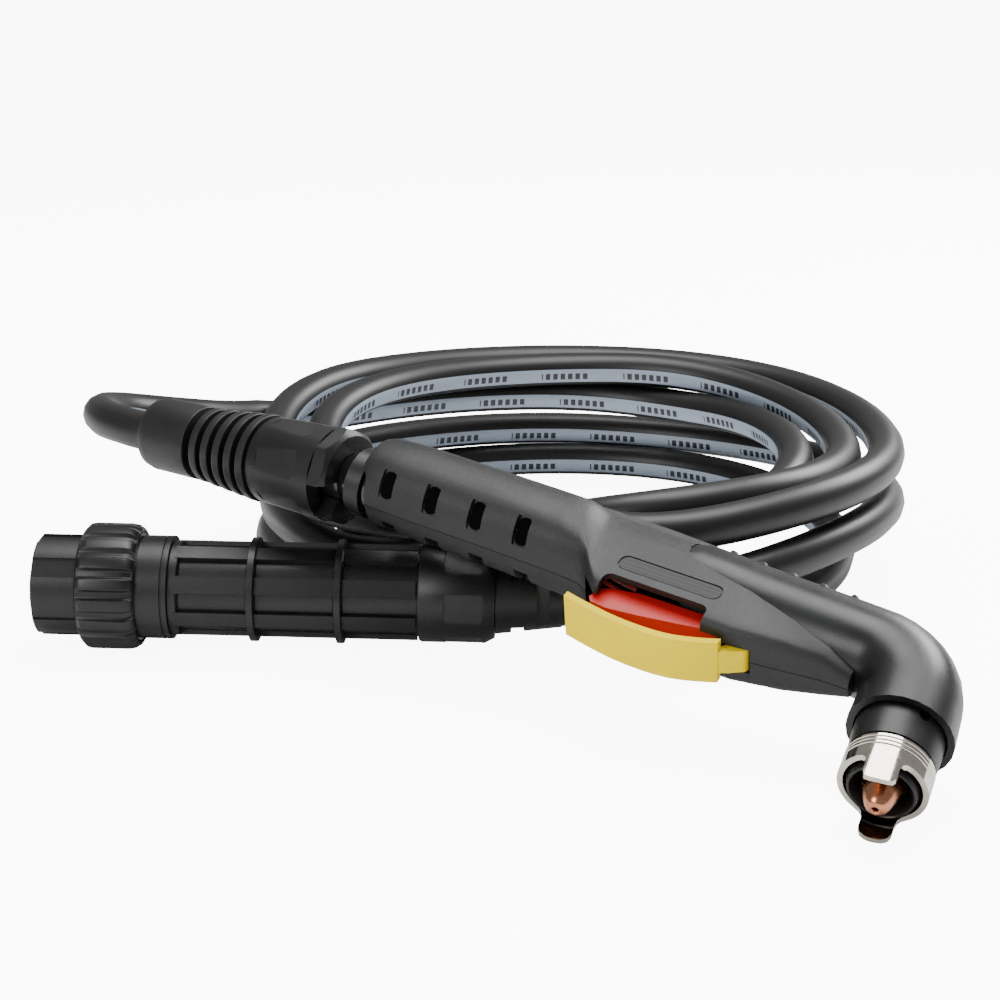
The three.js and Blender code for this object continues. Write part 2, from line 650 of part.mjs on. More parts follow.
// ---- Connector ----
function connector(group, black, soft, brass, rubber, insulation) {
  const { nut, collarEnd, gripEnd, glandEnd, bootEnd } = CONNECTOR;
  part(group, 'connector_shell', connectorShell(nut, collarEnd), black);
  part(group, 'coupling_nut', couplingNut(nut), black);
  const clip = [[38.7, 20.1], [38.7, 21.4], [40.1, 21.4], [40.1, 20.1]];
  part(group, 'nut_clip', turned(clip, 24), brass);
  part(group, 'connector_grip', connectorGrip(collarEnd + GAP, gripEnd), black);
  part(group, 'gland_nut', glandNut(gripEnd + GAP, glandEnd), black);
  part(group, 'connector_boot', connectorBoot(glandEnd + GAP, bootEnd), soft);
  part(group, 'face_seal', turned([[26, 6.2], [26, 8.2], [27.4, 8.2], [27.4, 6.2]], 24), rubber);
  part(group, 'contact_block', contactBlock(), insulation);
  part(group, 'power_pin', turned([[6, 2.4], [6, 4.6], [26.2, 4.6], [26.2, 5.8], [34, 5.8], [34, 2.4]], 20), brass);
  for (let i = 0; i < PIN_COUNT; i += 1) {
    const [y, z] = pinPlace(i);
    part(group, `control_pin_${i + 1}`, rod([6.5, y, z], [30, y, z], 1.2, 8), brass);
  }
  part(group, 'lead_crimp', turned([[166, 4.6], [166, 8.4], [179.6, 8.4], [179.6, 4.6]], 20), brass);
}

const PIN_COUNT = 5;
const PIN_CIRCLE = 10.5;

function pinPlace(index) {
  const angle = (90 + index * (360 / PIN_COUNT)) * DEG;
  return [PIN_CIRCLE * Math.cos(angle), PIN_CIRCLE * Math.sin(angle)];
}

function contactBlock() {
  let block = solid(turned([[14, 0], [14, 16.6], [24, 16.6], [24, 15], [25.8, 15], [25.8, 0]], 24));
  block = block.subtract(solid(rod([0, 0, 0], [40, 0, 0], 4.6 + GAP)));
  for (let i = 0; i < PIN_COUNT; i += 1) {
    const [y, z] = pinPlace(i);
    block = block.subtract(solid(rod([0, y, z], [40, y, z], 1.2 + GAP, 8)));
  }
  return block;
}

// The keyed front and collar, which the coupling nut turns on.
function connectorShell(nut, collarEnd) {
  const profile = [[0, 17.2], [0, 19.2], [0.8, 20], [nut[0] + 2, 20], [nut[0] + 2, 19.4], [nut[1] - 6, 19.4],
    [nut[1] - 6, 19.8], [nut[1] + 0.6, 19.8], [nut[1] + 0.6, 20.4], [collarEnd - 2.6, 20.4], [collarEnd - 2.4, 19.9],
    [collarEnd - 2, 19.9], [collarEnd - 1.8, 20.4], [collarEnd, 20.4], [collarEnd, 16], [28, 16], [28, 17.2]];
  let body = solid(turned(profile, 32));
  for (let i = 0; i < 7; i += 1) {
    const angle = (i * 360) / 7 * DEG;
    const flute = box([-1, -4, 18.7], [nut[0] + 1.4, 4, 24]).rotateX(angle);
    body = body.subtract(solid(flute));
  }
  return body;
}

function couplingNut([back, front]) {
  const ridges = 22;
  const outline = new THREE.Shape();
  const steps = ridges * 2;
  for (let i = 0; i < steps; i += 1) {
    const angle = (i / steps) * 2 * Math.PI;
    const radius = 24.1 + 0.9 * Math.sign(Math.cos(angle * ridges + 0.4));
    outline.lineTo(radius * Math.cos(angle), radius * Math.sin(angle));
  }
  outline.closePath();
  const geometry = new THREE.ExtrudeGeometry(outline, { depth: front - back, bevelEnabled: false });
  const knurl = solid(fixWinding(geometry.rotateY(Math.PI / 2).translate(back, 0, 0)));
  const turnedShape = [[back, 0], [back, 21.6], [back + 2.4, 25.2], [front - 3, 25.2], [front, 22.6], [front, 0]];
  const bore = solid(turned([[back - 1, 0], [back - 1, 20.5], [38.4, 20.5], [38.4, 21.8], [front + 1, 21.8], [front + 1, 0]], 28));
  return knurl.intersect(solid(turned(turnedShape, 32))).subtract(bore);
}

// A round grip with eight flat-topped ribs, a band at each end and two rings round it.
function connectorGrip(start, end) {
  const core = [[start, 15], [start, 18.7], [start + 3, 18.7], [start + 4, 17], [end - 1, 17], [end, 17], [end, 15]];
  let body = solid(turned(core, 28));
  for (let i = 0; i < 8; i += 1) {
    const rib = box([start + 2, -3.4, 16], [end - 0.5, 3.4, 18.6]).rotateX((i * 45 + 22.5) * DEG);
    body = body.add(solid(rib));
  }
  for (const x of [start + 32, start + 66]) {
    const band = turned([[x - 2.4, 15.4], [x - 1.2, 20.6], [x + 1.2, 20.6], [x + 2.4, 15.4]], 28);
    body = body.add(solid(band));
  }
  return body;
}

function glandNut(start, end) {
  const profile = [[start, 11], [start, 18.6], [start + 1, 19.2], [end - 4, 19.2], [end, 17], [end, 11]];
  let nut = solid(turned(profile, 28));
  for (let i = 0; i < 6; i += 1) {
    const pad = box([start + 10, -6, 18.3], [end - 4.6, 6, 24]).rotateX((i * 60 + 30) * DEG);
    nut = nut.subtract(solid(pad));
  }
  return nut;
}

// The tapered rubber boot has rows of windows, so that it bends.
function connectorBoot(start, end) {
  const profile = [[start, 8.6], [start, 15.4], [end - 10, 11], [end, 10.4], [end, 8.6]];
  let boot = solid(turned(profile, 24));
  for (let row = 0; row < 3; row += 1) {
    for (let side = 0; side < 2; side += 1) {
      const x = start + 6 + row * 10;
      const slot = box([x, -12, -20], [x + 5, 12, -9.9]);
      boot = boot.subtract(solid(slot.rotateX((side * 180 + (row % 2) * 90) * DEG)));
    }
  }
  return boot;
}

// ---- Lead ----
// Route points are measured from the coil's middle on the floor.
const TORCH_TAIL = [
  [-177, -56.2, 75.8],
  [-181.5, -53.2, 76],
  [-189.5, -46.5, 76.2],
  [-198.5, -36, 76],
  [-204.5, -20, 74.6],
  [-205, -2, 71.5],
  [-199.5, 15, 67],
  [-187.5, 28, 62.3],
  [-172.5, 35.5, 59],
  [-161.5, 38.6, 57.5],
];

const CONNECTOR_TAIL = [
  [10.2, -108.9, 22.7],
  [14, -109, 22.4],
  [24, -109, 20],
  [34, -108.4, 16.6],
  [43.4, -107.4, 13],
];

function lead(group, rubber) {
  const ringProfile = [[0, COIL.inner + 8], [6, COIL.inner], [COIL.height - 6, COIL.inner],
    [COIL.height, COIL.inner + 8], [COIL.height, COIL.outer - 8], [COIL.height - 6, COIL.outer],
    [6, COIL.outer], [0, COIL.outer - 8]];
  let coil = solid(turned(ringProfile, 48).rotateY(-Math.PI / 2).translate(0, 6, 0));
  coil = coil.subtract(solid(box([-245, -140, -5], [50, -66, 56])));
  coil = coil.subtract(torchRoom());
  part(group, 'lead_coil', largest(coil), rubber);
  part(group, 'torch_tail', tube(TORCH_TAIL, HOSE_RADIUS, 10, 12), rubber);
  part(group, 'connector_tail', tube(CONNECTOR_TAIL, HOSE_RADIUS, 10, 6), rubber);
}

// The room that the torch takes above the coil, with space to lift and turn.
function torchRoom() {
  const room = placed(new THREE.Group(), BALL_CENTRE, TORCH_TURN);
  const trough = solid(rod([-125, 0, 0], [260, 0, 0], 32, 16));
  const matrix = room.matrixWorld.elements;
  const lying = trough.transform(Array.from(matrix));
  return lying.add(lying.translate([0, 0, 20])).add(lying.translate([0, 0, 40]));
}

function placed(group, position, turn) {
  group.position.set(...position);
  group.rotation.set(turn.roll ?? 0, turn.pitch, turn.yaw, 'ZYX');
  group.updateMatrixWorld();
  return group;
}

// ---- Assembly ----
const object = new THREE.Group();
const layout = new THREE.Group();
layout.position.set(COIL_CENTRE[0], COIL_CENTRE[1], FLOOR);
object.add(layout);

const blackPlastic = plastic(BLACK, 0.5);
const rubber = plastic(0x242322, 0.7);
const brass = metal(0xb9954f, 0.35);
const steel = metal(0xb8bbc0, 0.3);
const copper = metal(0xb87345, 0.3);
const nickel = metal(0xc9c6c0, 0.18);
const white = plastic(0xe8e4da, 0.5);

const torch = placed(new THREE.Group(), BALL_CENTRE, TORCH_TURN);
layout.add(torch);
handleShells(torch, plastic(GREY, 0.6));
screws(torch, steel);
trigger(torch, plastic(0xd8402c, 0.45), steel, blackPlastic);
safetyLever(torch, plastic(0xf5cf16, 0.4), steel);
head(torch, blackPlastic);
consumables(torch, blackPlastic, nickel, copper, brass, white, rubber);
innerLines(torch, copper, plastic(0x8a2d22, 0.5));
ballSeat(torch, blackPlastic);

const boot = placed(new THREE.Group(), BALL_CENTRE, BOOT_TURN);
layout.add(boot);
swivelAndBoot(boot, blackPlastic, rubber, plastic(0x151517, 0.3), brass);

const plug = placed(new THREE.Group(), CONNECTOR_NOSE, CONNECTOR_TURN);
layout.add(plug);
connector(plug, blackPlastic, rubber, brass, rubber, white);

const cable = new THREE.Group();
layout.add(cable);
lead(cable, rubber);

export default object;
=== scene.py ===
# %% [markdown]
# # A hand plasma torch on its coiled lead
# The CAD frame is loaded first and never moved. Everything made here is laid over it, in metres,
# with +Z up. This lesson works from the largest thing, the camera and the lead, down to small trim.

# %% Load the frame
import json
import math

import bmesh
import bpy
import numpy as np
from mathutils import Matrix, Vector


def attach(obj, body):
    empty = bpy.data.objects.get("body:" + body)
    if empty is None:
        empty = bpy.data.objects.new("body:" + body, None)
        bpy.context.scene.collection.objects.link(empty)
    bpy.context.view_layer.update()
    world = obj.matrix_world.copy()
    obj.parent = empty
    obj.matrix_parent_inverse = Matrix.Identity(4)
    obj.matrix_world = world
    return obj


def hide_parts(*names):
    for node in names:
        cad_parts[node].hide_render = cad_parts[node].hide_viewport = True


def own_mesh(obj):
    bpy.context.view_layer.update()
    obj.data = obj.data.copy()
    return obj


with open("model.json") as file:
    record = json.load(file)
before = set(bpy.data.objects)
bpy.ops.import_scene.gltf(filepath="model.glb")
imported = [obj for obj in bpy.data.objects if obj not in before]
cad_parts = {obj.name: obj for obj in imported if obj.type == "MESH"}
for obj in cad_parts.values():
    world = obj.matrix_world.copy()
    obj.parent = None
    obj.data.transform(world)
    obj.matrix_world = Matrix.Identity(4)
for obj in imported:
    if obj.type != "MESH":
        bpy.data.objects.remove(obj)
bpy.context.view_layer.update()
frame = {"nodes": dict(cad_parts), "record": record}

# %% [markdown]
# ## Where things are
# The design gives three places: the middle of the coil, the swivel ball behind the handle, and the
# front of the connector. The handle, the boot, the connector and the head each have a small frame of
# their own, in which +X runs along the piece. Round pieces can then be drawn about X and set down
# afterwards with one matrix.

# %% The local frames
MM = 0.001
COIL = Vector((31.1, 165.5, 0)) * MM


def frame_at(place, roll, pitch, yaw):
    turn = (Matrix.Rotation(math.radians(yaw), 4, "Z")
            @ Matrix.Rotation(math.radians(pitch), 4, "Y")
            @ Matrix.Rotation(math.radians(roll), 4, "X"))
    return Matrix.Translation(COIL + Vector(place) * MM) @ turn


BALL = (-86, -112.5, 71.33)
TORCH = frame_at(BALL, -69.5, 8.6, -30.3)
BOOT = frame_at(BALL, -70, 2.3, -33.2)
PLUG = frame_at((-215.5, -101, 25.7), 0, 0.75, -2)
BEND = math.radians(80.5)
HEAD = TORCH @ Matrix.Translation(Vector((226, 0, 1)) * MM) @ Matrix.Rotation(BEND, 4, "Y")
print("the head axis meets the neck at", [round(v, 4) for v in HEAD.translation])

# %% [markdown]
# ## The camera
# A product picture is taken from some way off with a long lens, so that the near end of the tool
# doesn't look swollen. A 72 mm lens at 0.9 m, looking down 17 degrees, does that here.

# %% Camera
camera_data = bpy.data.cameras.new("camera")
camera_data.lens = 72
camera_data.sensor_width = 36
camera_data.dof.use_dof = False
camera = bpy.data.objects.new("camera", camera_data)
camera.location = COIL + Vector((-34, -850, 288)) * MM
camera.rotation_euler = (math.radians(90 - 16.9), 0, 0)
bpy.context.scene.collection.objects.link(camera)
bpy.context.scene.camera = camera

# %% [markdown]
# ## Materials: two small helpers
# Colours are picked as sRGB hex values, the way a paint chart gives them, and shaders want linear
# light. Nodes are all added by one function, which takes the settings and what each socket gets.

# %% Helpers for colour and nodes


def linear(code):
    values = []
    for i in (0, 2, 4):
        v = int(code[i:i + 2], 16) / 255
        values.append(v / 12.92 if v <= 0.04045 else ((v + 0.055) / 1.055) ** 2.4)
    return (*values, 1)


def add(tree, kind, sockets=None, **settings):
    """Adds one node. A socket is given a plain value, or another node's output to link to."""
    node = tree.nodes.new(kind)
    for key, value in settings.items():
        setattr(node, key, value)
    for key, value in (sockets or {}).items():
        if isinstance(value, bpy.types.NodeSocket):
            tree.links.new(value, node.inputs[key])
        else:
            node.inputs[key].default_value = value
    return node


def new_material(name, **sockets):
    """A fresh material with a principled shader whose sockets are set by name."""
    material = bpy.data.materials.new(name)
    material.use_nodes = True
    tree = material.node_tree
    shader = tree.nodes["Principled BSDF"]
    for key, value in sockets.items():
        shader.inputs[key.replace("_", " ")].default_value = value
    return material, tree, shader


# %% [markdown]
# ## The lead
# A 16 mm rubber lead keeps one length however it lies, so it is drawn as one line of that length.
# The points listed below go from the connector round the coil five times and back to the torch.
# A real lead then settles: its turns push each other apart, sink until they touch, and stay clear
# of the tool. A short settling loop in numpy does the same, which a cloth or rigid body run could
# also do, but far more slowly.

# %% Given route, in millimetres from the middle of the coil
LEAD = 16.0
ROUTE_START = [
    (10.2, -108.9, 22.7), (14, -109, 22.4), (24, -109, 20), (34, -108.4, 16.6), (43.4, -107.4, 13),
]
ROUTE_TURNS = [
    (60, -100, 9), (82, -84, 8), (103, -57, 8), (117, -24, 8), (124, 15, 8), (118, 62, 8),
    (97, 106, 8), (60, 138, 8), (10, 152, 8), (-45, 146, 8), (-95, 124, 8), (-130, 86, 8),
    (-145, 40, 8), (-143, 2, 9), (-130, -30, 14), (-108, -52, 24), (-82, -70, 40), (-55, -92, 54),
    (-30, -116, 52), (-4, -130, 50), (25, -135, 56), (60, -124, 62), (104, -95, 65), (130, -50, 63),
    (140, 5, 60), (132, 62, 62), (102, 112, 63), (55, 140, 64), (0, 148, 64), (-55, 137, 65),
    (-105, 102, 67), (-135, 55, 67), (-141, 10, 62), (-133, -30, 52), (-112, -62, 44),
    (-84, -84, 50), (-58, -100, 55), (-34, -124, 46), (-10, -142, 34), (22, -145, 34),
    (60, -131, 42), (104, -97, 47), (130, -52, 44), (141, 5, 37), (134, 66, 30), (104, 118, 26),
    (55, 150, 24), (0, 158, 24), (-55, 148, 26), (-108, 114, 30), (-138, 62, 32), (-142, 20, 28),
    (-132, -16, 26), (-112, -48, 28), (-88, -66, 34), (-60, -70, 42), (-38, -84, 52),
    (-14, -104, 60), (18, -120, 64), (55, -108, 66), (90, -85, 64), (114, -42, 60), (122, 0, 57),
    (116, 54, 59), (88, 100, 62), (46, 124, 64), (0, 130, 64), (-48, 120, 64), (-88, 92, 66),
    (-114, 56, 66), (-122, 14, 60), (-116, -18, 50), (-96, -46, 42), (-70, -56, 34), (-36, -66, 32),
    (0, -86, 34), (32, -90, 40), (60, -78, 46), (88, -48, 52), (103, -10, 55), (98, 50, 53),
    (76, 100, 51), (40, 128, 50), (0, 138, 50), (-50, 130, 50), (-95, 108, 51), (-124, 78, 52),
    (-146, 50, 55),
]
ROUTE_END = [
    (-161.5, 38.6, 57.5), (-172.5, 35.5, 59), (-187.5, 28, 62.3), (-199.5, 15, 67),
    (-205, -2, 71.5), (-204.5, -20, 74.6), (-198.5, -36, 76), (-189.5, -46.5, 76.2),
    (-181.5, -53.2, 76), (-172, -59.4, 76.7),
]
STEP = 6.0           # between the beads of the chain that settles
FINE_STEP = 5.0      # between the points of the finished line
print("hand-laid points:", len(ROUTE_START) + len(ROUTE_TURNS) + len(ROUTE_END))

# %% [markdown]
# A smooth curve through the points is a Catmull-Rom curve. It is then read off again at even steps,
# because the settling treats every bead of the chain alike.

# %% Smooth and even out a line


def through(points, fine=14):
    p = np.array(points, float)
    p = np.vstack([2 * p[0] - p[1], p, 2 * p[-1] - p[-2]])
    t = np.linspace(0, 1, fine, endpoint=False)[:, None]
    runs = []
    for a, b, c, d in zip(p, p[1:], p[2:], p[3:]):
        runs.append(0.5 * (2 * b + (c - a) * t + (2 * a - 5 * b + 4 * c - d) * t ** 2
                           + (3 * b - a - 3 * c + d) * t ** 3))
    return np.vstack(runs + [p[-2:-1]])


def evened(line, step):
    along = np.r_[0, np.cumsum(np.linalg.norm(np.diff(line, axis=0), axis=1))]
    count = int(round(along[-1] / step)) + 1
    wanted = np.linspace(0, along[-1], count)
    return np.stack([np.interp(wanted, along, line[:, k]) for k in range(3)], axis=1)


# %% [markdown]
# The lead can't enter the tool, so the torch, its boot and the connector are described as a few
# thick lines that push the lead away. They are a little fatter than the pieces themselves.

# %% What the lead must stay clear of
def to_coil(matrix, x, y=0.0, z=0.0):
    return np.array((matrix @ (Vector((x, y, z)) * MM) - COIL) / MM)


# The handle can roll 35 degrees in its seat, and the lead leaves room for that too.
ROLLED = TORCH @ Matrix.Rotation(math.radians(-35), 4, "X")
HALF_ROLLED = TORCH @ Matrix.Rotation(math.radians(-18), 4, "X")
CLEAR = [  # each line is from, to, and its radius in millimetres
    (to_coil(HALF_ROLLED, 105, 0, -14), to_coil(HALF_ROLLED, 168, 0, -16), 13.5),
    (to_coil(ROLLED, 105, 0, -14), to_coil(ROLLED, 168, 0, -16), 13.5),
    (to_coil(ROLLED, 4, 0, 4.5), to_coil(ROLLED, 165, 0, 4.5), 19.0),
    (to_coil(TORCH, 4, 0, 4), to_coil(TORCH, 100, 0, 4), 19.0),
    (to_coil(TORCH, 100, 0, 4), to_coil(TORCH, 165, 0, 4), 19.0),
    (to_coil(TORCH, 110, 0, -14), to_coil(TORCH, 165, 0, -16), 13.0),
    (to_coil(TORCH, 165, 0, 1), to_coil(TORCH, 226, 0, 1), 17.5),
    (to_coil(BOOT, -13, 0, 0), to_coil(BOOT, -7, 0, 0), 19.0),
    (to_coil(BOOT, -13, 0, 0), to_coil(BOOT, -50, 0, 0), 18.6),
    (to_coil(BOOT, -50, 0, 0), to_coil(BOOT, -104, 0, 0), 17.0),
    (to_coil(PLUG, 0), to_coil(PLUG, 16), 20.4),
    (to_coil(PLUG, 18), to_coil(PLUG, 40), 25.4),
    (to_coil(PLUG, 40), to_coil(PLUG, 180), 20.8),
    (to_coil(PLUG, 180), to_coil(PLUG, 224), 15.0),
]


def pushed_clear(points, a, b, reach):
    """How far each point has to move to be outside a thick line."""
    line = b - a
    share = np.clip(((points - a) @ line) / (line @ line), 0, 1)
    away = points - (a + share[:, None] * line)
    gap = np.linalg.norm(away, axis=1)
    short = np.clip(reach - gap, 0, None)
    return away / np.maximum(gap, 1e-6)[:, None] * short[:, None]


# %% Let the lead settle
APART = 3.2 * LEAD        # beads nearer than this along the lead may be close together
TOUCHING = LEAD + 0.25    # distance between the middles of two turns that touch
FIRST_HELD, LAST_HELD = 5, 27       # beads at each end that don't move at all
EASING = 12                         # beads over which the hold lets go
FIRST_INSIDE, LAST_INSIDE = 22, 26  # beads at each end that may be inside the connector or the boot
TOOL_GAP = 0.4


def settled(line, rounds=260):
    points = evened(line, STEP)
    target = points.copy()
    count = len(points)
    index = np.arange(count)
    others = np.abs(index[:, None] - index[None, :]) * STEP > APART
    free = np.clip((index - FIRST_HELD) / EASING, 0, 1)
    free = (free * np.clip((count - LAST_HELD - index) / EASING, 0, 1))[:, None]
    for turn in range(rounds):
        move = np.zeros_like(points)
        level = np.abs(points[:, None, 2] - points[None, :, 2]) < TOUCHING
        rows, cols = np.nonzero(others & level)
        gap = points[rows] - points[cols]
        size = np.linalg.norm(gap, axis=1)
        near = size < TOUCHING
        rows, gap, size = rows[near], gap[near], size[near]
        push = gap / np.maximum(size, 1e-6)[:, None] * (0.32 * (TOUCHING - size))[:, None]
        np.add.at(move, rows, push)
        for a, b, radius in CLEAR:
            blocked = pushed_clear(points, a, b, radius + LEAD / 2 + TOOL_GAP)
            blocked[:FIRST_INSIDE] = 0
            blocked[-LAST_INSIDE:] = 0
            move += blocked * 0.8
        cooling = 1 - turn / rounds
        move += 0.03 * cooling * (target - points)    # a weak pull back to the laid line
        move[:, 2] -= 0.12 * cooling                  # and a little weight
        points += move * free
        for _ in range(2):
            middle = (points[:-4] + points[1:-3] * 4 + points[3:-1] * 4 + points[4:]) / 10
            bend = np.zeros_like(points)
            bend[2:-2] = 0.3 * (middle - points[2:-2])
            points += bend * free * (0.25 + 0.75 * cooling)
        points[:, 2] = np.maximum(points[:, 2], LEAD / 2 + 0.05)
    return points


route = settled(through(ROUTE_START + ROUTE_TURNS + ROUTE_END))
route = evened(through(route, 3), FINE_STEP)
centre_line = route * MM + np.array(COIL)
length = float(np.linalg.norm(np.diff(centre_line, axis=0), axis=1).sum())
gaps = np.linalg.norm(route[:, None] - route[None, :], axis=2)
order = np.arange(len(route))
far = np.abs(order[:, None] - order[None, :]) * FINE_STEP > APART
print("lead length", round(length, 3), "m; closest turns", round(float(gaps[far].min()), 2), "mm")
print("lowest", round(float(route[:, 2].min()), 2), "highest", round(float(route[:, 2].max()), 2))

# %% [markdown]
# The tube itself is a curve with a round bevel, made into a mesh so that its UV map can carry the
# printed stripe. With the twist set to Z up, the same side of the tube always faces the inside of
# the coil, as on a lead whose print was wound inwards.

# %% The lead as a tube


def final_mesh(made):
    """The mesh of an object as its modifiers, or a curve's bevel, leave it."""
    bpy.context.view_layer.update()
    depsgraph = bpy.context.evaluated_depsgraph_get()
    return bpy.data.meshes.new_from_object(made.evaluated_get(depsgraph))


def tube_along(name, points, radius, sides=24):
    curve = bpy.data.curves.new(name, "CURVE")
    curve.dimensions = "3D"
    curve.twist_mode = "Z_UP"
    curve.bevel_depth = radius
    curve.bevel_resolution = sides // 4 - 1
    curve.use_fill_caps = True
    spline = curve.splines.new("POLY")
    spline.points.add(len(points) - 1)
    for place, knot in zip(points, spline.points):
        knot.co = (*place, 1)
    holder = bpy.data.objects.new(name + "_line", curve)
    bpy.context.scene.collection.objects.link(holder)
    mesh = final_mesh(holder)
    bpy.data.objects.remove(holder)
    mesh.name = name
    mesh.shade_smooth()
    tube = bpy.data.objects.new(name, mesh)
    bpy.context.scene.collection.objects.link(tube)
    print(name, "has", len(mesh.polygons), "faces")
    return tube


lead = tube_along("lead", centre_line, LEAD / 2 * MM)

# %% [markdown]
# Rubber lead is extruded, so it is smooth along its length with a soft sheen, and dusty in places.
# The stripe is printed in pale blue-grey, 7.5 mm wide, with six plain dark bars every 43 mm. The UV
# map runs along the lead in U and once round it in V, so both patterns are worked out from it.

# %% Rubber lead with a printed stripe
STRIPE_AT = 0.885       # where the stripe lies, as a share of the way round
STRIPE_HALF = 0.075     # half its width, as a share of the way round
PRINT_HALF = 0.033      # half the height of the printed bars
PRINT_EVERY = 0.043     # metres from one group of bars to the next


def lead_rubber():
    material, tree, shader = new_material("extruded_rubber_lead", Roughness=0.42,
                                          Specular_IOR_Level=0.4)
    uv = add(tree, "ShaderNodeUVMap")
    split = add(tree, "ShaderNodeSeparateXYZ", {0: uv.outputs["UV"]})
    across = add(tree, "ShaderNodeMath", {0: split.outputs["Y"], 1: STRIPE_AT},
                 operation="SUBTRACT")
    wrapped = add(tree, "ShaderNodeMath", {0: across.outputs[0], 1: -0.5, 2: 0.5}, operation="WRAP")
    offset = add(tree, "ShaderNodeMath", {0: wrapped.outputs[0]}, operation="ABSOLUTE")
    stripe = add(tree, "ShaderNodeMapRange", {0: offset.outputs[0], 1: STRIPE_HALF + 0.003,
                                              2: STRIPE_HALF - 0.003})
    inner = add(tree, "ShaderNodeMapRange", {0: offset.outputs[0], 1: PRINT_HALF + 0.003,
                                             2: PRINT_HALF - 0.003})
    dashes = add(tree, "ShaderNodeMath", {0: split.outputs["X"], 1: length / PRINT_EVERY},
                 operation="MULTIPLY")
    share = add(tree, "ShaderNodeMath", {0: dashes.outputs[0]}, operation="FRACT")
    dash = add(tree, "ShaderNodeMath", {0: share.outputs[0], 1: 0.56}, operation="LESS_THAN")
    coords = add(tree, "ShaderNodeTexCoord")
    bars = add(tree, "ShaderNodeMath", {0: dashes.outputs[0], 1: 11.0}, operation="MULTIPLY")
    bar = add(tree, "ShaderNodeMath", {0: bars.outputs[0]}, operation="FRACT")
    cut = add(tree, "ShaderNodeMath", {0: bar.outputs[0], 1: 0.62}, operation="LESS_THAN")
    mark = add(tree, "ShaderNodeMath", {0: dash.outputs[0], 1: inner.outputs[0]},
               operation="MULTIPLY")
    marks = add(tree, "ShaderNodeMath", {0: mark.outputs[0], 1: cut.outputs[0]},
                operation="MULTIPLY")
    dust = add(tree, "ShaderNodeTexNoise", {"Vector": coords.outputs["Object"], "Scale": 40.0,
                                            "Detail": 6.0})
    body = add(tree, "ShaderNodeMix", {0: dust.outputs["Fac"], 6: linear("070706"),
                                       7: linear("110f0e")}, data_type="RGBA")
    ink = add(tree, "ShaderNodeMix", {0: marks.outputs[0], 6: linear("8f9aa8"),
                                      7: linear("20242c")}, data_type="RGBA")
    colour = add(tree, "ShaderNodeMix", {0: stripe.outputs[0], 6: body.outputs[2],
                                         7: ink.outputs[2]}, data_type="RGBA")
    tree.links.new(colour.outputs[2], shader.inputs["Base Color"])
    grain = add(tree, "ShaderNodeTexNoise", {"Vector": coords.outputs["Object"], "Scale": 900.0,
                                             "Detail": 3.0})
    bump = add(tree, "ShaderNodeBump", {"Height": grain.outputs["Fac"], "Strength": 0.12,
                                        "Distance": 0.0002})
    tree.links.new(bump.outputs["Normal"], shader.inputs["Normal"])
    return material


lead.data.materials.clear()
lead.data.materials.append(lead_rubber())
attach(lead, "lead")
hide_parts("lead_coil", "torch_tail", "connector_tail")

# %% [markdown]
# ## Moulded plastics, rubber and metals
# Every moulded plastic here has a spark-eroded or a polished finish, which changes only how fine
# the bump is and how rough the surface. One function makes them, with the grain in millimetres.

# %% Plastic and metal finishes


def moulded(name, dark, light, roughness, grain_mm, depth, coat=0.0, ior=1.5, shine=0.5):
    """A moulded plastic or rubber: slight colour drift, a fine skin and a little wear."""
    material, tree, shader = new_material(name, IOR=ior, Coat_Weight=coat, Coat_Roughness=0.12,
                                          Specular_IOR_Level=shine)
    coords = add(tree, "ShaderNodeTexCoord")
    drift = add(tree, "ShaderNodeTexNoise", {"Vector": coords.outputs["Object"], "Scale": 55.0,
                                             "Detail": 4.0})
    colour = add(tree, "ShaderNodeMix", {0: drift.outputs["Fac"], 6: linear(dark),
                                         7: linear(light)}, data_type="RGBA")
    tree.links.new(colour.outputs[2], shader.inputs["Base Color"])
    rough = add(tree, "ShaderNodeMapRange", {0: drift.outputs["Fac"], 1: 0.3, 2: 0.7,
                                             3: roughness - 0.04, 4: roughness + 0.05})
    tree.links.new(rough.outputs[0], shader.inputs["Roughness"])
    grain = add(tree, "ShaderNodeTexNoise", {"Vector": coords.outputs["Object"],
                                             "Scale": 1000 / grain_mm, "Detail": 2.0})
    bump = add(tree, "ShaderNodeBump", {"Height": grain.outputs["Fac"], "Strength": depth,
                                        "Distance": 0.0004})
    tree.links.new(bump.outputs["Normal"], shader.inputs["Normal"])
    return material


def bare_metal(name, dark, light, roughness, grain_mm=0.8):
    """A plated or turned metal: the colour is the reflection's, with faint handling marks."""
    material, tree, shader = new_material(name, Metallic=1.0)
    coords = add(tree, "ShaderNodeTexCoord")
    marks = add(tree, "ShaderNodeTexNoise", {"Vector": coords.outputs["Object"], "Scale": 260.0,
                                             "Detail": 6.0})
    colour = add(tree, "ShaderNodeMix", {0: marks.outputs["Fac"], 6: linear(dark),
                                         7: linear(light)}, data_type="RGBA")
    tree.links.new(colour.outputs[2], shader.inputs["Base Color"])
    rough = add(tree, "ShaderNodeMapRange", {0: marks.outputs["Fac"], 1: 0.3, 2: 0.7,
                                             3: roughness * 0.7, 4: roughness * 1.4})
    tree.links.new(rough.outputs[0], shader.inputs["Roughness"])
    grain = add(tree, "ShaderNodeTexNoise", {"Vector": coords.outputs["Object"],
                                             "Scale": 1000 / grain_mm})
    bump = add(tree, "ShaderNodeBump", {"Height": grain.outputs["Fac"], "Strength": 0.04,
                                        "Distance": 0.0001})
    tree.links.new(bump.outputs["Normal"], shader.inputs["Normal"])
    return material


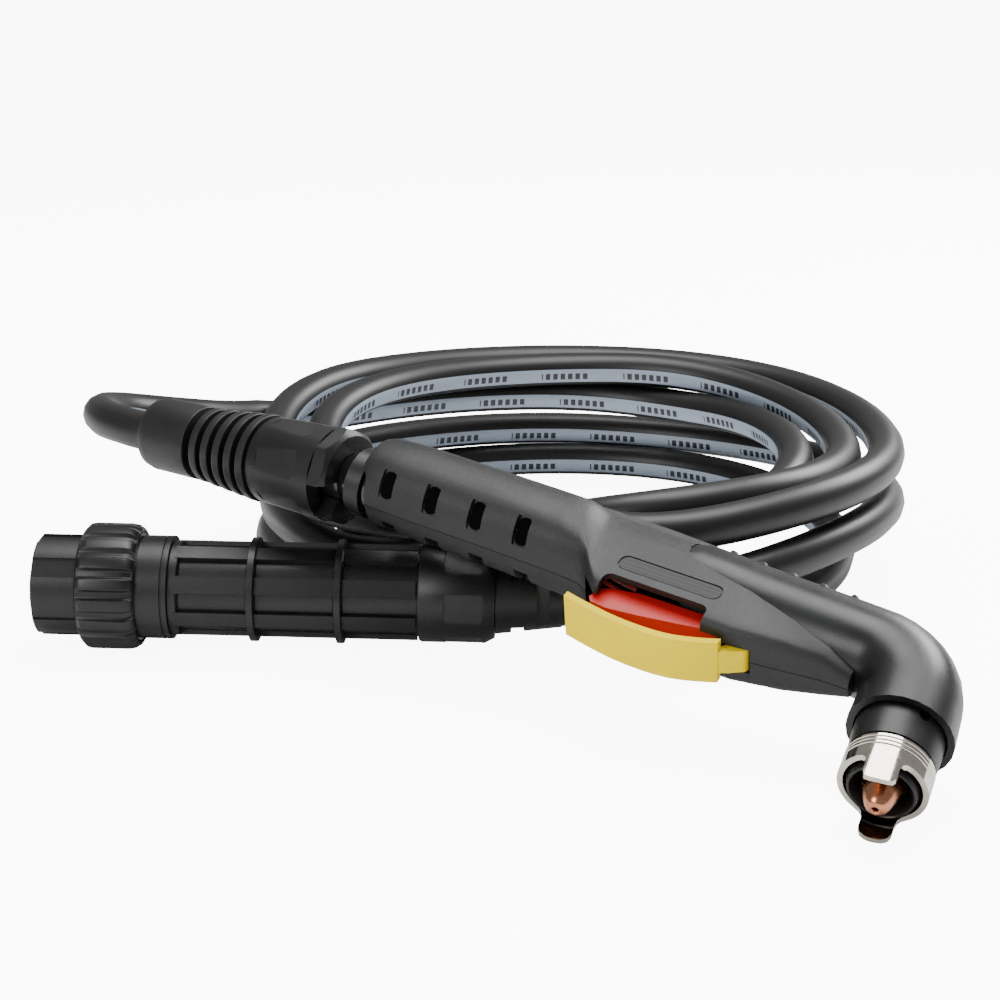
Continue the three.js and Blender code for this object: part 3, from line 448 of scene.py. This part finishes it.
FINISHES = {
    "grip_plastic": moulded("spark_eroded_abs", "0d0e0f", "151618", 0.46, 0.30, 0.30, shine=0.4),
    "black_plastic": moulded("moulded_black_nylon", "060607", "0b0b0c", 0.40, 0.45, 0.14,
                             shine=0.4),
    "gloss_black": moulded("polished_acetal", "0c0c0e", "121214", 0.16, 1.2, 0.03, coat=0.3),
    "steel": bare_metal("zinc_plated_steel", "9a9c9e", "b9bbbd", 0.32),
    "red_plastic": moulded("red_acetal", "a80c04", "b81408", 0.36, 0.8, 0.05, shine=0.25),
    "yellow_plastic": moulded("yellow_acetal", "e4c600", "ecd000", 0.5, 0.9, 0.04, shine=0.05),
    "brass": bare_metal("turned_brass", "a8823c", "c9a45a", 0.26),
    "rubber": moulded("moulded_black_rubber", "060605", "0c0b0b", 0.46, 0.6, 0.12, ior=1.52,
                      shine=0.4),
    "copper": bare_metal("turned_copper", "a8694a", "c68f6e", 0.24),
    "white_ceramic": moulded("fired_ceramic", "dcd7cb", "ece8de", 0.38, 0.7, 0.06),
    "nickel": bare_metal("polished_nickel", "a9a399", "d6d0c4", 0.10, 1.6),
    "wire": moulded("red_pvc_wire", "7a1c12", "8e2a1c", 0.40, 1.0, 0.05),
}
neck_plastic = moulded("moulded_neck_resin", "08090a", "0d0e0f", 0.36, 0.40, 0.10, shine=0.4)
print("finishes:", sorted(FINISHES))

# %% [markdown]
# ## CAD nodes that keep their shape
# A node from CAD arrives as loose triangles. A small geometry-nodes group welds them and shades
# them smooth, with a crisp line wherever two faces meet at more than 30 degrees. It is a modifier,
# so the node's own mesh stays as it was.

# %% Weld and shade group


def weld_and_shade(angle=30):
    group = bpy.data.node_groups.new("weld_and_shade", "GeometryNodeTree")
    group.interface.new_socket("Geometry", in_out="INPUT", socket_type="NodeSocketGeometry")
    group.interface.new_socket("Geometry", in_out="OUTPUT", socket_type="NodeSocketGeometry")
    entry = add(group, "NodeGroupInput")
    weld = add(group, "GeometryNodeMergeByDistance", {"Geometry": entry.outputs[0],
                                                      "Distance": 0.00002})
    smooth = add(group, "GeometryNodeSetShadeSmooth", {"Geometry": weld.outputs[0],
                                                       "Shade Smooth": True}, domain="FACE")
    bend = add(group, "GeometryNodeInputMeshEdgeAngle")
    soft = add(group, "FunctionNodeCompare", {0: bend.outputs["Unsigned Angle"],
                                              1: math.radians(angle)}, operation="LESS_THAN")
    edges = add(group, "GeometryNodeSetShadeSmooth", {"Geometry": smooth.outputs[0],
                                                      "Shade Smooth": soft.outputs[0]},
                domain="EDGE")
    add(group, "NodeGroupOutput", {0: edges.outputs[0]})
    return group


SHADE = weld_and_shade()


def dress(node_name, material):
    node = frame["nodes"][node_name]
    node.data.materials.clear()
    node.data.materials.append(material)
    modifier = node.modifiers.new("weld_and_shade", "NODES")
    modifier.node_group = SHADE


slots = {row["node"]: row["material_slot"] for row in frame["record"]["subparts"]}
for node_name in frame["nodes"]:
    finish = FINISHES[slots[node_name]]
    dress(node_name, neck_plastic if node_name == "torch_head" else finish)
print("dressed", len(frame["nodes"]), "nodes")

# %% [markdown]
# ## Round pieces, turned afresh
# Most of the torch is lathe work: caps, rings, nuts and ribbed rubber. The CAD keeps few sides, so
# here each one is spun again from its section with `bmesh.ops.spin`, which is the classic way to
# make anything turned. Notches and pads are cut with booleans, and a bevel modifier rounds every
# edge by a fraction of a millimetre, because no moulded edge is perfectly sharp.

# %% Spinning, cutting and finishing
SPIN_STEPS = 96


def as_object(name, bm, matrix):
    bmesh.ops.remove_doubles(bm, verts=bm.verts, dist=0.0001)
    bmesh.ops.recalc_face_normals(bm, faces=bm.faces)
    bm.transform(matrix @ Matrix.Scale(MM, 4))
    mesh = bpy.data.meshes.new(name)
    bm.to_mesh(mesh)
    bm.free()
    made = bpy.data.objects.new(name, mesh)
    bpy.context.scene.collection.objects.link(made)
    return made


def spin_section(section, steps):
    """A closed section, as (along, radius) in millimetres, spun about the local X axis."""
    bm = bmesh.new()
    verts = [bm.verts.new((x, 0, r)) for x, r in section]
    edges = [bm.edges.new(pair) for pair in zip(verts, verts[1:] + verts[:1])]
    bmesh.ops.spin(bm, geom=verts + edges, cent=(0, 0, 0), axis=(1, 0, 0), angle=2 * math.pi,
                   steps=steps, use_merge=True, use_duplicate=False)
    return bm


def spun(name, section, matrix):
    return as_object(name, spin_section(section, SPIN_STEPS), matrix)


def rounded_corners(bm, edges, radius):
    bmesh.ops.bevel(bm, geom=edges, offset=radius, offset_type="OFFSET", segments=6, profile=0.5,
                    affect="EDGES", material=-1)


def block(low, high, matrix, turn=0.0, corner=0.0):
    """A box between two corners, turned about X. Its upright edges may be rounded."""
    bm = bmesh.new()
    bmesh.ops.create_cube(bm, size=1)
    bmesh.ops.scale(bm, vec=Vector(high) - Vector(low), verts=bm.verts)
    bmesh.ops.translate(bm, vec=(Vector(high) + Vector(low)) / 2, verts=bm.verts)
    if corner:
        upright = [e for e in bm.edges if abs(e.verts[0].co.z - e.verts[1].co.z) > 0.01]
        rounded_corners(bm, upright, corner)
    turned = Matrix.Rotation(math.radians(turn), 3, "X")
    bmesh.ops.rotate(bm, cent=(0, 0, 0), matrix=turned, verts=bm.verts)
    return as_object("block", bm, matrix)


def combine(piece, tools, operation="DIFFERENCE"):
    """Cuts the tools from the piece, or joins them to it, and clears them away."""
    for tool in tools:
        modifier = piece.modifiers.new("combine", "BOOLEAN")
        modifier.object = tool
        modifier.operation = operation
        modifier.solver = "EXACT"
    mesh = final_mesh(piece)
    piece.modifiers.clear()
    piece.data = mesh
    for tool in tools:
        bpy.data.objects.remove(tool)
    return piece


def finish_piece(piece, node_name, body, edge=0.3):
    """Gives a new piece its material and soft edges, sets it on its body and hides the CAD node that
    it stands for.
    """
    slot = slots[node_name]
    piece.data.materials.clear()
    piece.data.materials.append(FINISHES[slot])
    piece.data.shade_smooth()
    piece.data.set_sharp_from_angle(angle=math.radians(40))
    rounding = piece.modifiers.new("soft_edges", "BEVEL")
    rounding.width = edge * MM
    rounding.segments = 2
    rounding.limit_method = "ANGLE"
    rounding.angle_limit = math.radians(32)
    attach(piece, body)
    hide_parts(node_name)
    print(piece.name, "has", len(piece.data.polygons), "faces")


# %% [markdown]
# ### The head's consumables
# A copper nozzle, a black retaining cap with three notches, and a nickel ring with two legs that
# holds the nozzle off the plate.

# %% Nozzle, cap and spacer ring
nozzle = spun("nozzle_turned", [
    (41, 4.6), (41, 9), (48, 9), (48, 7.4), (53, 7.4), (55, 7.2), (63.4, 4.2), (65, 3.3),
    (65.8, 2.2), (66, 1.4), (65.5, 0.9), (52, 0.9), (52, 4.6)], HEAD)
finish_piece(nozzle, "nozzle", "torch", 0.25)

cap = spun("retaining_cap_turned", [
    (23, 9.6), (23, 14.9), (38, 14.9), (45, 14.5), (45.2, 12.2), (55, 12), (58, 11.2), (58, 10.4),
    (53, 7.9), (48.6, 7.9), (48.6, 9.6)], HEAD)
notches = [block((22, -2, 13.2), (35, 2, 18), HEAD, 180 + 120 * i, 1.9) for i in range(3)]
finish_piece(combine(cap, notches), "retaining_cap", "torch")

RIM, TIP, LEG = 56, 66, 5.4    # where the legs start and end, and half the width of one
section = [(46, 13.2)]
for start in (46.3, 47.9, 49.5):
    section += [(start, 14.8), (start + 0.9, 14.8), (start + 1.2, 14.3)]
section += [(51.2, 14.8), (TIP + 0.2, 14.8), (TIP + 0.2, 12.9), (47, 12.9)]
spacer = spun("spacer_ring_turned", section, HEAD)


def beside_the_legs(side):
    """What is cut away from the ring on one side, leaving two legs with rounded feet."""
    bm = bmesh.new()
    outline = [(RIM, 30), (RIM, LEG + 3.4), (RIM + 0.3, LEG + 1.7), (RIM + 1.3, LEG + 0.5),
               (RIM + 3.4, LEG), (TIP - 2.6, LEG), (TIP - 0.8, LEG - 0.9), (TIP - 0.1, LEG - 2.6),
               (TIP + 0.1, LEG - 4.2), (TIP + 0.1, 0.01), (TIP + 4, 0.01), (TIP + 4, 30)]
    face = bm.faces.new([bm.verts.new((x, -30, side * z)) for x, z in outline])
    grown = bmesh.ops.extrude_face_region(bm, geom=[face])
    lifted = [v for v in grown["geom"] if isinstance(v, bmesh.types.BMVert)]
    bmesh.ops.translate(bm, vec=(0, 60, 0), verts=lifted)
    return as_object("beside", bm, HEAD)


combine(spacer, [beside_the_legs(1), beside_the_legs(-1)])
finish_piece(spacer, "spacer_ring", "spacer", 0.18)

# %% [markdown]
# ### The boot behind the handle
# Soft rubber ribs that grow towards the torch, and a hard barrel with six shallow finger pads.

# %% Ribbed boot and barrel
section = [(-106, 8.5), (-106, 12.4), (-105.2, 13.5), (-104.4, 14.2), (-101, 15), (-80.2, 15)]
for i in range(5):
    x, radius = -79.4 + 6.5 * i, 15.2 + 0.6 * i
    section += [(x, radius - 4), (x + 2.4, radius - 4), (x + 2.6, radius - 0.5), (x + 3.2, radius),
                (x + 6.3, radius)]
section += [(-46.3, 12.6), (-46.3, 8), (-80, 8), (-80, 8.5)]
finish_piece(spun("cable_boot_moulded", section, BOOT), "cable_boot", "lead", 0.5)

barrel = spun("boot_barrel_turned", [
    (-46, 12), (-46, 16.6), (-44.5, 17.2), (-14, 18.5), (-14, 12)], BOOT)
pads = [block((-41, -6, 17.1), (-21, 6, 24), BOOT, 60 * i + 20, 3) for i in range(6)]
finish_piece(combine(barrel, pads), "boot_barrel", "lead", 0.35)

# %% [markdown]
# ### The connector
# Everything here is about the plug's own X axis. The coupling nut is spun in 288 steps, and its
# outer ring of points is then moved in and out to give 18 flat ridges.

# %% Connector shell, nut, grip, gland and boot
shell = spun("connector_shell_turned", [
    (0, 17.2), (0, 19.2), (0.8, 20), (19.6, 20), (19.6, 19.4), (34.5, 19.4), (34.5, 19.8),
    (41.1, 19.8), (41.1, 20.4), (50.4, 20.4), (50.6, 19.9), (51, 19.9), (51.2, 20.4), (53, 20.4),
    (53, 16), (28, 16), (28, 17.2)], PLUG)
flutes = [block((-1, -4, 18.7), (19, 4, 24), PLUG, 360 / 7 * i, 0) for i in range(7)]
finish_piece(combine(shell, flutes), "connector_shell", "lead")

RIDGES = 18
RIDGE_DEPTH = 1.6
KNURLED = 23.2         # only points outside this radius are moved
nut_section = [(17.6, 20.5), (17.6, 21.6), (18.4, 23.0), (20, 24.6), (22, 25), (36, 25),
               (38, 24.6), (39.8, 23.4), (40.5, 22.4), (40.5, 21.8), (38.4, 21.8), (38.4, 20.5)]
bm = spin_section(nut_section, RIDGES * 16)
for v in bm.verts:
    radius = math.hypot(v.co.y, v.co.z)
    if radius > KNURLED:
        wave = min(1, max(0, 0.1 - 1.5 * math.cos(math.atan2(v.co.z, v.co.y) * RIDGES)))
        shrink = 1 - RIDGE_DEPTH * wave * wave * (3 - 2 * wave) / radius
        v.co.y *= shrink
        v.co.z *= shrink
finish_piece(as_object("coupling_nut_moulded", bm, PLUG), "coupling_nut", "coupling_nut", 0.2)

grip = spun("connector_grip_turned", [
    (53.3, 15), (53.3, 18.7), (56.3, 18.7), (57.3, 17), (149, 17), (150, 17), (150, 15)], PLUG)
ribs = [block((55.3, -3.4, 16), (149.5, 3.4, 18.6), PLUG, 45 * i + 22.5, 0) for i in range(8)]
bands = [spun("band", [(x - 2.4, 15.4), (x - 1.2, 20.6), (x + 1.2, 20.6), (x + 2.4, 15.4)], PLUG)
         for x in (85.3, 119.3)]
finish_piece(combine(grip, ribs + bands, "UNION"), "connector_grip", "lead")

gland = spun("gland_nut_turned", [
    (150.3, 11), (150.3, 18.6), (151.3, 19.2), (176, 19.2), (180, 17), (180, 11)], PLUG)
flats = [block((160.3, -6, 18.3), (175.4, 6, 24), PLUG, 60 * i + 30, 2) for i in range(6)]
finish_piece(combine(gland, flats), "gland_nut", "lead")

plug_boot = spun("connector_boot_moulded", [
    (180.3, 8.6), (180.3, 15.4), (215, 11), (225, 10.4), (225, 8.6)], PLUG)
windows = [block((186.3 + 10 * row, -12, -20), (191.3 + 10 * row, 12, -9.9), PLUG,
                 180 * side + 90 * (row % 2))
           for row in range(3) for side in range(2)]
finish_piece(combine(plug_boot, windows), "connector_boot", "lead", 0.3)

# %% [markdown]
# ### Label plates
# A thin plate sits in the recess on each side of the handle. It is printed with plain fine bars, so
# it reads as a rating plate from a distance and says nothing close to.

# %% Label plates
plate_material, tree, shader = new_material("printed_polycarbonate_label", Roughness=0.45,
                                            Specular_IOR_Level=0.25)
coords = add(tree, "ShaderNodeTexCoord")
rows = add(tree, "ShaderNodeMapping", {"Vector": coords.outputs["Object"],
                                       "Rotation": TORCH.to_euler()}, vector_type="TEXTURE")
bars = add(tree, "ShaderNodeTexWave", {"Vector": rows.outputs["Vector"], "Scale": 160.0},
           bands_direction="Z")
print_on = add(tree, "ShaderNodeMix", {0: bars.outputs["Fac"], 6: linear("050506"),
                                       7: linear("1a1b1d")}, data_type="RGBA")
tree.links.new(print_on.outputs[2], shader.inputs["Base Color"])
PLATE_THICK = 0.35
PLATE_AT = 12.125      # from the middle of the handle to the middle of the plate
for side, word in ((-1, "right"), (1, "left")):
    bm = bmesh.new()
    bmesh.ops.create_cube(bm, size=1)
    bmesh.ops.scale(bm, vec=(39, PLATE_THICK, 6.6), verts=bm.verts)
    corners = [e for e in bm.edges if abs(e.verts[0].co.y - e.verts[1].co.y) > 0.01]
    rounded_corners(bm, corners, 2.7)
    bmesh.ops.translate(bm, vec=(136, side * PLATE_AT, -8.05), verts=bm.verts)
    plate = as_object("label_plate_" + word, bm, TORCH)
    plate.data.materials.append(plate_material)
    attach(plate, "torch")
    print(plate.name, "has", len(plate.data.polygons), "faces")

# %% [markdown]
# The trigger's return spring is wound again as a curve, five turns of wire on a 2.3 mm radius.

# %% Trigger spring
COIL_RADIUS, COIL_PITCH, COIL_TURNS, COIL_FOOT = 2.3, 1.2, 5, -19.2
COIL_POINTS = 120
winding = []
for i in range(COIL_POINTS + 1):
    turns = i / COIL_POINTS * COIL_TURNS
    angle = turns * 2 * math.pi
    place = (121 + COIL_RADIUS * math.cos(angle), COIL_RADIUS * math.sin(angle),
             COIL_FOOT + COIL_PITCH * turns)
    winding.append(TORCH @ (Vector(place) * MM))
spring = tube_along("trigger_spring_wound", winding, 0.4 * MM, sides=12)
spring.data.materials.clear()
spring.data.materials.append(FINISHES["steel"])
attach(spring, "torch")
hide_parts("trigger_spring")
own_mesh(spring)

# %% [markdown]
# The four slots down each side of the grip read as dark, so each has a thin near-black block on its
# floor: painted shade, standing in for the shade deep in the slot. The slots lie round the grip's
# own middle, 51 degrees below its widest line.

# %% Painted shade in the grip slots
MIDDLE = Matrix.Translation(Vector((0, 0, 4.5)) * MM)
BELOW = 90 + 51        # degrees from straight up to the slots
# A near-black matt material that paints the shade on the slot floors.
slot_shade_material, _, _ = new_material("painted_slot_shade", Base_Color=linear("030303"),
                                    Roughness=0.9, Specular_IOR_Level=0.05)
for side, word in ((-1, "right"), (1, "left")):
    # Thin blocks on the slot floors that carry the painted shade.
    shade_blocks = [block((15 + 19.6 * i, -5.2, 15.75), (20 + 19.6 * i, 5.2, 16.15), TORCH @ MIDDLE,
                    -side * BELOW, 2.2) for i in range(4)]
    row = combine(shade_blocks[0], shade_blocks[1:], "UNION")
    row.name = "grip_slot_painted_shade_" + word
    row.data.materials.append(slot_shade_material)
    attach(row, "torch")
    print(row.name, "has", len(row.data.polygons), "faces")

# %% [markdown]
# The lead is one piece from the connector to the torch. The pieces that sit on its far end are
# listed here.

CONNECTOR_PIECES = ["connector_shell", "coupling_nut", "connector_grip", "gland_nut",
                    "connector_boot", "contact_block", "power_pin", "nut_clip", "face_seal",
                    "lead_crimp"]
CONNECTOR_PIECES += [f"control_pin_{i + 1}" for i in range(5)]

# %% [markdown]
# ## Floor and light
# Large soft lights, one above, one at the front left and one at the back right, give broad
# highlights along every round edge. The floor and the backdrop glow white for the camera alone, as
# backlit acrylic does, but light the tool only a little, so that black plastic stays black.

# %% Floor
FLOOR_HALF = 6         # metres from the middle to each edge
GLOW = 9.0             # what the camera sees beyond the light that falls on it
floor_mesh = bpy.data.meshes.new("floor")
bm = bmesh.new()
bmesh.ops.create_grid(bm, x_segments=2, y_segments=2, size=FLOOR_HALF)
bm.to_mesh(floor_mesh)
bm.free()
floor = bpy.data.objects.new("floor", floor_mesh)
bpy.context.scene.collection.objects.link(floor)
acrylic, tree, shader = new_material("white_backlit_acrylic", Base_Color=linear("f4f4f4"),
                                     Roughness=0.9)
seen = add(tree, "ShaderNodeLightPath")
glow = add(tree, "ShaderNodeMath", {0: seen.outputs["Is Camera Ray"], 1: GLOW},
           operation="MULTIPLY")
shader.inputs["Emission Color"].default_value = (1, 1, 1, 1)
tree.links.new(glow.outputs[0], shader.inputs["Emission Strength"])
floor_mesh.materials.append(acrylic)

# %% Lights
FILL = 0.4             # even light from all round
world = bpy.data.worlds.new("studio")
bpy.context.scene.world = world
world.use_nodes = True
backdrop = world.node_tree.nodes["Background"]
backdrop.inputs["Color"].default_value = (1, 1, 1, 1)
seen = add(world.node_tree, "ShaderNodeLightPath")
level = add(world.node_tree, "ShaderNodeMapRange", {0: seen.outputs["Is Camera Ray"], 3: FILL,
                                                    4: FILL + GLOW})
world.node_tree.links.new(level.outputs[0], backdrop.inputs["Strength"])


def softbox(name, place, aim, size, power):
    light = bpy.data.lights.new(name, "AREA")
    light.shape = "RECTANGLE"
    light.size, light.size_y = size
    light.energy = power
    lamp = bpy.data.objects.new(name, light)
    lamp.location = place
    lamp.rotation_euler = (Vector(aim) - Vector(place)).to_track_quat("-Z", "Y").to_euler()
    bpy.context.scene.collection.objects.link(lamp)


softbox("overhead", (0.1, 0.25, 1.3), (0, 0.05, 0), (1.1, 0.8), 30)
softbox("front_left", (-0.9, -0.9, 0.7), (0, 0, 0.05), (0.6, 0.6), 12)
softbox("back_right", (0.9, 0.9, 0.8), (0, 0.1, 0.05), (0.7, 0.5), 22)

# %% [markdown]
# ## Last step
# The view layer is brought up to date.

# %% Bring the view layer up to date
bpy.context.view_layer.update()
